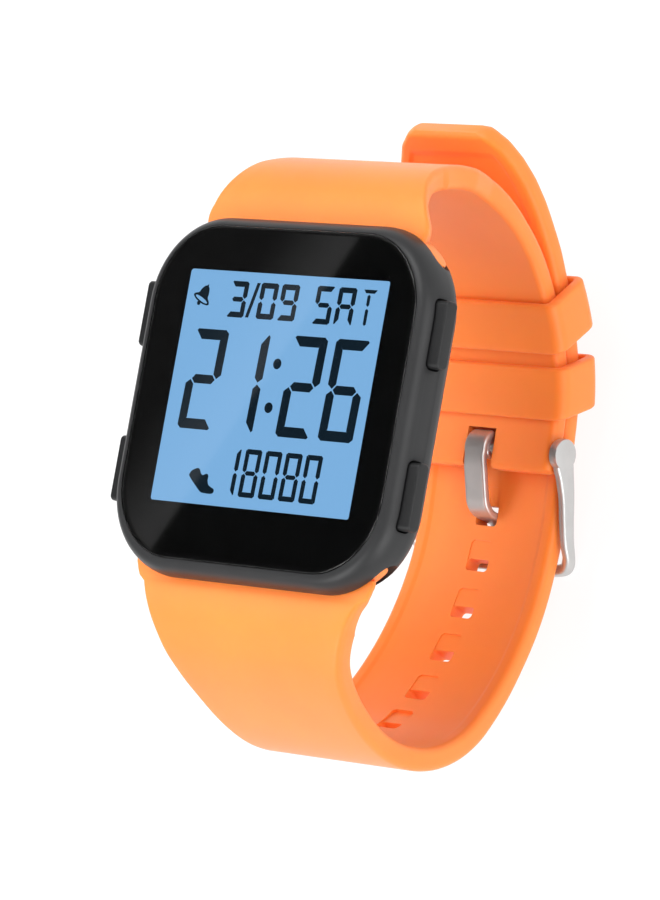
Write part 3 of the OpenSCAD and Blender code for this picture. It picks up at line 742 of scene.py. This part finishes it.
def build_straps():
    # half widths at y. The neck's follow a scratch script's printout of the silhouette, thinned and
    # altered by hand
    front = [(-39, 12), (-35, 11.9), (-32, 12.5), (-29, 13.6), (-26.4, 14.9), (-23.8, 16.4),
             (-21.8, 18.1), (-20.5, 19.2), (-19.6, 19.4), (-19, 19.3)]
    back = [(-39, 12), (-36, 12), (-30, 11.7), (-22, 11.3), (-12, 10.9), (30, 10.9)]
    path = [[0, 2.3, STRAP_T], [5, -14, 2.5], [7.2, 59, 2.6], [21.71, 45, 2.8], [12.92, 49.7, 2.8],
            [36, 15, STRAP_T], [36, 29.9, STRAP_T], [0, 10.09, STRAP_T],
            [TAIL_R, 20.4, STRAP_T], [69, 22.2, STRAP_T]]
    tip = [(0, 5.9), (0.8, 6.7), (2.2, 8.1), (4.4, 9.25), (7, 10.05), (10, 10.5), (16, 10.9)]
    stations = settle(run_path(path, (-19.05, -5.4), 180, STRAP_T, 0.4), 0.75, -0.45)
    raw = [table(front if z > -22.5 else back, y) for y, z, h, t in stations]
    widths = smooth(raw, 3)

    def tail_width(i, s, total):
        left = total - s
        return widths[i] if left > tip[-1][0] else min(widths[i], table(tip, left))

    def tail_recess(i, s, total):
        y, z = stations[i][:2]
        if z > -22.5 and y < -20:
            return 0.0
        left = total - s
        start = smoothstep(30, 44, s)
        return RECESS * start * smoothstep(2.7, 3.1, left) + 0.001

    neck_pull = [(-25.2, 0.0), (-23.8, 0.6), (-22.5, 1.4), (-21.2, 2.2), (-20, 2.6)]

    def neck_tuck(y, z):
        return table(neck_pull, y) if z > -9 else 0.0

    lower = strap_mesh("strap_bottom", stations, tail_width, tail_recess, False, tuck=neck_tuck)
    tools = []
    # the hole in use is stretched and its slope is deeper
    in_use, spare = (2.4, 0.3), (1.5, 0.12)
    turn = HOLE_PITCH / HOLE_BEND
    for i in range(5):
        a = math.radians(2.6) - i * turn
        y, z = HOLE_Y + HOLE_BEND * math.sin(a), HOLE_Z - HOLE_BEND * math.cos(a)
        tools += hole_tools(y, z, a, *(spare if i else in_use))
    tools += hole_tools(-33.1, -30.3, math.radians(-52.5))
    cut(lower, tools, 38)
    lower = join("strap_bottom", [lower, ear("ear", -1, 0.4, -4.8)])
    soften(lower, 38)
    finish_piece(lower, "watch", SILICONE, "strap", "strap_lower")

    # half widths at y, also from a printout of the silhouette, rounded and altered by hand
    front = [(18.6, 16.8), (20.4, 18), (21.2, 18.1), (22.4, 17.6), (23.6, 16.8),
             (24.9, 15.6), (26, 14.6), (27.2, 13.7), (29, 12.95), (32, 12.7)]
    back = [(-2, 11.2), (19, 11.2), (22, 11.6), (26, 12.2), (32, 12.7)]
    path = [[0, 2.6, STRAP_T + 0.15], [0, LOOP_Y + 0.85 - 2.6, STRAP_T], [LOOP_R, 60, STRAP_T],
            [LOOP_R, 14, 2.8], [16, 40, 2.8], [4, 66, 2.8], [0, 4.4, 2.8]]
    top_stations = run_path(path, (-0.85, LOOP_Z - LOOP_R), 0, STRAP_T + 0.15, 0.4)
    raw = [table(front if z > -16 else back, y) for y, z, h, t in top_stations]
    top_widths = smooth(raw, 4)

    def shoulder_tuck(y, z):
        return table([(20, 2.0), (24, 2.0), (26, 1.0), (27.6, 0.0)], y) if z > -9 else 0.0

    upper = strap_mesh("strap_top", top_stations, lambda i, s, total: top_widths[i],
                       lambda i, s, total: 0.001, True, False, tuck=shoulder_tuck)
    cut(upper, [block("notch", -2.2, 2.2, -2, 3.9, -42, -35)], 38)
    upper = join("strap_top", [upper, ear("ear", 1, 0.15, -5.2)])
    soften(upper, 38)
    finish_piece(upper, "watch", SILICONE, "strap", "strap_upper")


# ---------------------------------------------------------------- keepers

def build_keepers():
    wall, side_wall, half_in, length = 0.8, 1.5, 11.45, 6.2
    r_in = LOOP_R - 0.12
    for name, a_in, a_out, play in (("keeper_1", 31, 33.2, 0.45), ("keeper_2", 13, 15.4, 0.15)):
        r_out = TAIL_R + STRAP_T + play

        def point(x, r, u):
            f = (r - r_in) / (r_out - r_in)
            a = lerp(a_in, a_out, f) + u * math.degrees(length / 2 / lerp(r_in, r_out, f))
            a = math.radians(a)
            return (x, LOOP_Y + r * math.sin(a), LOOP_Z - r * math.cos(a))

        def loop(grow, u, corner):
            w = 2 * (half_in + grow * side_wall / wall)
            h = r_out - r_in + 2 * grow
            mid = (r_in + r_out) / 2
            return [point(x, mid + y, u) for x, y in arc_rect(w, h, corner, 8)]

        rings = []
        rim = 0.4
        outside = [(wall - rim * (1 - math.sin(a)), 1 - rim * (1 - math.cos(a)) / (length / 2))
                   for a in [math.pi / 2 * k / 4 for k in range(5)]]
        for grow, u in outside:
            rings.append(loop(grow, u, 1.5 + grow - wall))
        for k in range(1, 8):
            rings.append(loop(wall, lerp(outside[-1][1], -outside[-1][1], k / 8), 1.5))
        for grow, u in reversed(outside):
            rings.append(loop(grow, -u, 1.5 + grow - wall))
        inner_rim = 0.25
        inside = [(inner_rim * (1 - math.sin(a)), 1 - inner_rim * (1 - math.cos(a)) / (length / 2))
                  for a in [math.pi / 2 * k / 3 for k in range(4)]]
        for grow, u in inside:
            rings.append(loop(grow, -u, 0.35 + grow))
        for grow, u in reversed(inside):
            rings.append(loop(grow, u, 0.35 + grow))
        o = loft(name + "_loop", rings, closed=True, sharp=40)
        finish_piece(o, name, SILICONE, "strap", name)


# ---------------------------------------------------------------- buckle

def sweep(name, points, side, thin, tall, r=0.3, n=3, sharp=40):
    """Rounded bar along 3-D points; side[i] is the direction of its thin way, in mm sizes."""
    rings = []
    last = len(points) - 1
    for i, p in enumerate(points):
        a, b = points[max(0, i - 1)], points[min(last, i + 1)]
        tangent = (Vector(b) - Vector(a)).normalized()
        s = Vector(side[i])
        s = (s - tangent * s.dot(tangent)).normalized()
        up = tangent.cross(s)
        rr = min(r, thin[i] / 2 - 0.01, tall[i] / 2 - 0.01)
        rings.append([tuple(Vector(p) + s * x + up * y) for x, y in arc_rect(thin[i], tall[i], rr, n)])
    return loft(name, rings, sharp=sharp)


PIVOT = (1.6, -38.85)


def disc(name, x0, x1, y, z, r, edge=0.2, n=40):
    rings = []
    for x, i in ((x0, edge), (x0 + edge * 0.3, edge * 0.3), (x0 + edge, 0), (x1 - edge, 0),
                 (x1 - edge * 0.3, edge * 0.3), (x1, edge)):
        rings.append([(x, y + (r - i) * math.cos(2 * math.pi * k / n),
                       z + (r - i) * math.sin(2 * math.pi * k / n)) for k in range(n)])
    return loft(name, rings, sharp=50)


def build_buckle():
    x_arm = 12.05
    half = [((x_arm, 2.3, -38.75), 2.4), ((x_arm, 0.6, -39.25), 3.0), ((x_arm, -0.9, -39.95), 2.6),
            ((x_arm, -3.2, -40.85), 2.2), ((x_arm, -5.9, -41.6), 2.0), ((x_arm, -8.4, -42.4), 1.8),
            ((x_arm - 0.05, -10.0, -43.2), 1.55), ((x_arm - 0.65, -11.15, -43.85), 1.4),
            ((x_arm - 2.0, -11.6, -44.0), 1.3), ((8.0, -11.65, -44.0), 1.3), ((2.6, -11.65, -44.0), 1.3)]
    pts = curve([p for p, _ in half], 6)
    tall = [v[0] for v in curve([(h, 0, 0) for _, h in half], 6)]
    side, thin = [], []
    for p in pts:
        turn = smoothstep(0, 1, (-p[1] - 9.6) / 2.0)
        side.append((1 - turn, -turn, 0))
        thin.append(lerp(1.04, 1.4, turn))
    right = sweep("arm_r", pts, side, thin, tall, 0.38)
    mirror = lambda q: (-q[0], q[1], q[2])
    left = sweep("arm_l", [mirror(p) for p in pts], [mirror(s) for s in side], thin, tall, 0.38)
    # the middle of the far bar is thinner where the tongue rests
    mid = [(x, -11.65, -43.66) for x in (2.7, 1.8, 0, -1.8, -2.7)]
    centre = sweep("rest", mid, [(0, -1, 0)] * 5, [1.55] * 5, [0.62] * 5, 0.25)
    ends = [disc("disc", s * x_arm - 0.58, s * x_arm + 0.58, *PIVOT, 1.9) for s in (1, -1)]
    frame_piece = join("buckle_loop", [right, left, centre] + ends)
    soften(frame_piece, 40)
    finish_piece(frame_piece, "buckle", STEEL, "buckle", "buckle_frame")

    # the blade comes off the roll round the bar, then bends down to the rest
    roll, first = 1.35, math.radians(25)
    path = [[roll, 73, 0.9], [0, 0.65, 0.9], [8, 12, 0.9], [0, 3.7, 0.9], [2.2, 62, 0.9], [0, 2.5, 0.9],
            [1.3, -79, 0.85], [0, 4.6, 0.7]]
    start = (PIVOT[0] + roll * math.cos(first), PIVOT[1] + roll * math.sin(first))
    stations = run_path(path, start, 115, 0.9, 0.3)
    total = len(stations) - 1
    rings = []
    for i, (y, z, h, t) in enumerate(stations):
        f = i / total
        w = table([(0, 1.62), (0.1, 1.62), (0.15, 1.5), (0.22, 1.62), (0.8, 1.62), (1, 1.45)], f)
        crown = 0.12
        ring = []
        for x, d in strap_section(w, t, 0.0, 0.9, 0.32, 4):
            lift = -crown * (1 - (x / w) ** 2) if d < t / 2 else 0
            ring.append((x, y + (d + lift) * math.sin(h), z - (d + lift) * math.cos(h)))
        rings.append(ring)
    blade = loft("blade", rings, sharp=45)
    wrap = disc("wrap", -1.3, 1.3, *PIVOT, 1.3, 0.25)
    pin = join("buckle_pin", [blade, wrap])
    soften(pin, 45)
    finish_piece(pin, "tongue", STEEL, "buckle", "buckle_tongue")


build_case()
build_glass()
build_display()
build_buttons()
build_straps()
build_keepers()
build_buckle()

# ---------------------------------------------------------------- studio

scene = bpy.context.scene

ROOM_LIGHT = 0.62
# the way the glass looks when seen from the camera, and the edge of the card in its reflection; the
# second is a computed result
GLASS_LOOK = (-0.6829, 0.0876, 0.7252)
CARD_NORMAL = (-0.632, 0.3975, -0.6653)
TONGUE_LOOK = (-0.68, -0.34, 0.63)
CARD_EDGE = 0.0005
CARD_FADE = 0.014
CARD_LIGHT = 0.45
# outer and inner half angles in degrees, and the light inside them
DRAPE_OUTER, DRAPE_INNER, DRAPE_LIGHT = 62, 24, 0.012
SOFTBOX_OUTER, SOFTBOX_INNER, SOFTBOX_LIGHT = 18, 5, 0.8
# the camera's place from the middle of the display, and its right, up and backward directions, as a
# scratch script fitted them
CAMERA_PLACE = (454.6, -62.9, 470.6)
CAMERA_AXES = (0.7273, 0.1744, -0.6638), (-0.0683, 0.9808, 0.1828), (0.6829, -0.0876, 0.7252)


def floor():
    me = bpy.data.meshes.new("floor")
    s = 3.0
    me.from_pydata([(-s, -s, 0), (s, -s, 0), (s, s, 0), (-s, s, 0)], [], [(0, 1, 2, 3)])
    o = bpy.data.objects.new("floor", me)
    scene.collection.objects.link(o)
    m = material("studio_floor", (0.16, 0.16, 0.16), rough=0.9, spec=0.0, vary=0.004, vary_mm=200,
                 emit=0.88, glow=(1, 1, 1, 1))
    me.materials.append(m)


def area(name, location, target, size, power):
    d = bpy.data.lights.new(name, "AREA")
    d.shape = "SQUARE"
    d.size = size
    d.energy = power
    o = bpy.data.objects.new(name, d)
    o.location = location
    o.rotation_euler = (Vector(target) - Vector(location)).to_track_quat("-Z", "Y").to_euler()
    # the glass doesn't mirror the lamps, so the display can be read from every side
    o.visible_transmission = False
    scene.collection.objects.link(o)
    return o


floor()


def studio_world():
    """White room with a black drape where the glass looks, and a soft card at the drape's edge."""
    world = bpy.data.worlds.new("studio")
    world.use_nodes = True
    t = world.node_tree
    background = t.nodes["Background"]
    coord = t.nodes.new("ShaderNodeTexCoord")

    def toward(direction):
        """Cosine of the angle between the ray and a direction."""
        d = t.nodes.new("ShaderNodeVectorMath")
        d.operation = "DOT_PRODUCT"
        d.inputs[1].default_value = Vector(direction).normalized()
        t.links.new(coord.outputs["Generated"], d.inputs[0])
        return d.outputs["Value"]

    def step(value, low, high, to_low, to_high):
        r = t.nodes.new("ShaderNodeMapRange")
        r.interpolation_type = "SMOOTHSTEP"
        r.inputs["From Min"].default_value = low
        r.inputs["From Max"].default_value = high
        r.inputs["To Min"].default_value = to_low
        r.inputs["To Max"].default_value = to_high
        t.links.new(value, r.inputs["Value"])
        return r.outputs["Result"]

    def cone(direction, outer, inner, outside, inside):
        """One value outside a cone about the direction and another inside it."""
        return step(toward(direction), math.cos(math.radians(outer)), math.cos(math.radians(inner)),
                    outside, inside)

    drape = cone(GLASS_LOOK, DRAPE_OUTER, DRAPE_INNER, 1.0, DRAPE_LIGHT)
    edge = step(toward(CARD_NORMAL), 0.0, CARD_EDGE, 0.0, 1.0)
    fade = step(toward(CARD_NORMAL), 0.0, CARD_FADE, 1.0, 0.12)
    card = t.nodes.new("ShaderNodeMath")
    card.operation = "MULTIPLY"
    t.links.new(edge, card.inputs[0])
    t.links.new(fade, card.inputs[1])
    near = t.nodes.new("ShaderNodeMath")
    near.operation = "MULTIPLY"
    t.links.new(card.outputs["Value"], near.inputs[0])
    t.links.new(step(toward(GLASS_LOOK), 0.93, 0.98, 0.0, CARD_LIGHT), near.inputs[1])
    # a softbox that the tongue of the buckle mirrors
    softbox = cone(TONGUE_LOOK, SOFTBOX_OUTER, SOFTBOX_INNER, 0.0, SOFTBOX_LIGHT)
    both = t.nodes.new("ShaderNodeMath")
    t.links.new(drape, both.inputs[0])
    t.links.new(softbox, both.inputs[1])
    total = t.nodes.new("ShaderNodeMath")
    t.links.new(both.outputs["Value"], total.inputs[0])
    t.links.new(near.outputs["Value"], total.inputs[1])
    strength = t.nodes.new("ShaderNodeMath")
    strength.operation = "MULTIPLY"
    strength.inputs[1].default_value = ROOM_LIGHT
    t.links.new(total.outputs["Value"], strength.inputs[0])
    background.inputs["Color"].default_value = (1, 1, 1, 1)
    t.links.new(strength.outputs["Value"], background.inputs["Strength"])
    scene.world = world


studio_world()
aim = (0, 0, 0.03)
area("key", (-0.25, -0.75, 0.75), aim, 0.6, 5)
area("top", (-0.1, 0.55, 0.8), aim, 0.5, 4)
area("right", (0.9, 0.2, 0.45), aim, 0.5, 2.5)
area("front", (0.75, -0.5, 0.25), aim, 0.5, 3.5)
# fills the inside of the strap loop without showing in the glass
fill = area("fill", (-0.55, 0.07, 0.6), aim, 0.6, 6)
fill.visible_glossy = False

cam_data = bpy.data.cameras.new("camera")
cam_data.sensor_width = 36
cam_data.lens = 230
cam_data.clip_start, cam_data.clip_end = 0.05, 10
cam = bpy.data.objects.new("camera", cam_data)
cam.location = place((CAMERA_PLACE[0], CAMERA_PLACE[1] + LCD_Y, CAMERA_PLACE[2]))
cam.rotation_mode = "QUATERNION"
cam.rotation_quaternion = Matrix(CAMERA_AXES).transposed().to_quaternion()
scene.collection.objects.link(cam)
scene.camera = cam
scene.view_settings.view_transform = "Standard"
scene.view_settings.look = "None"
scene.cycles.max_bounces = 10
scene.cycles.transmission_bounces = 8
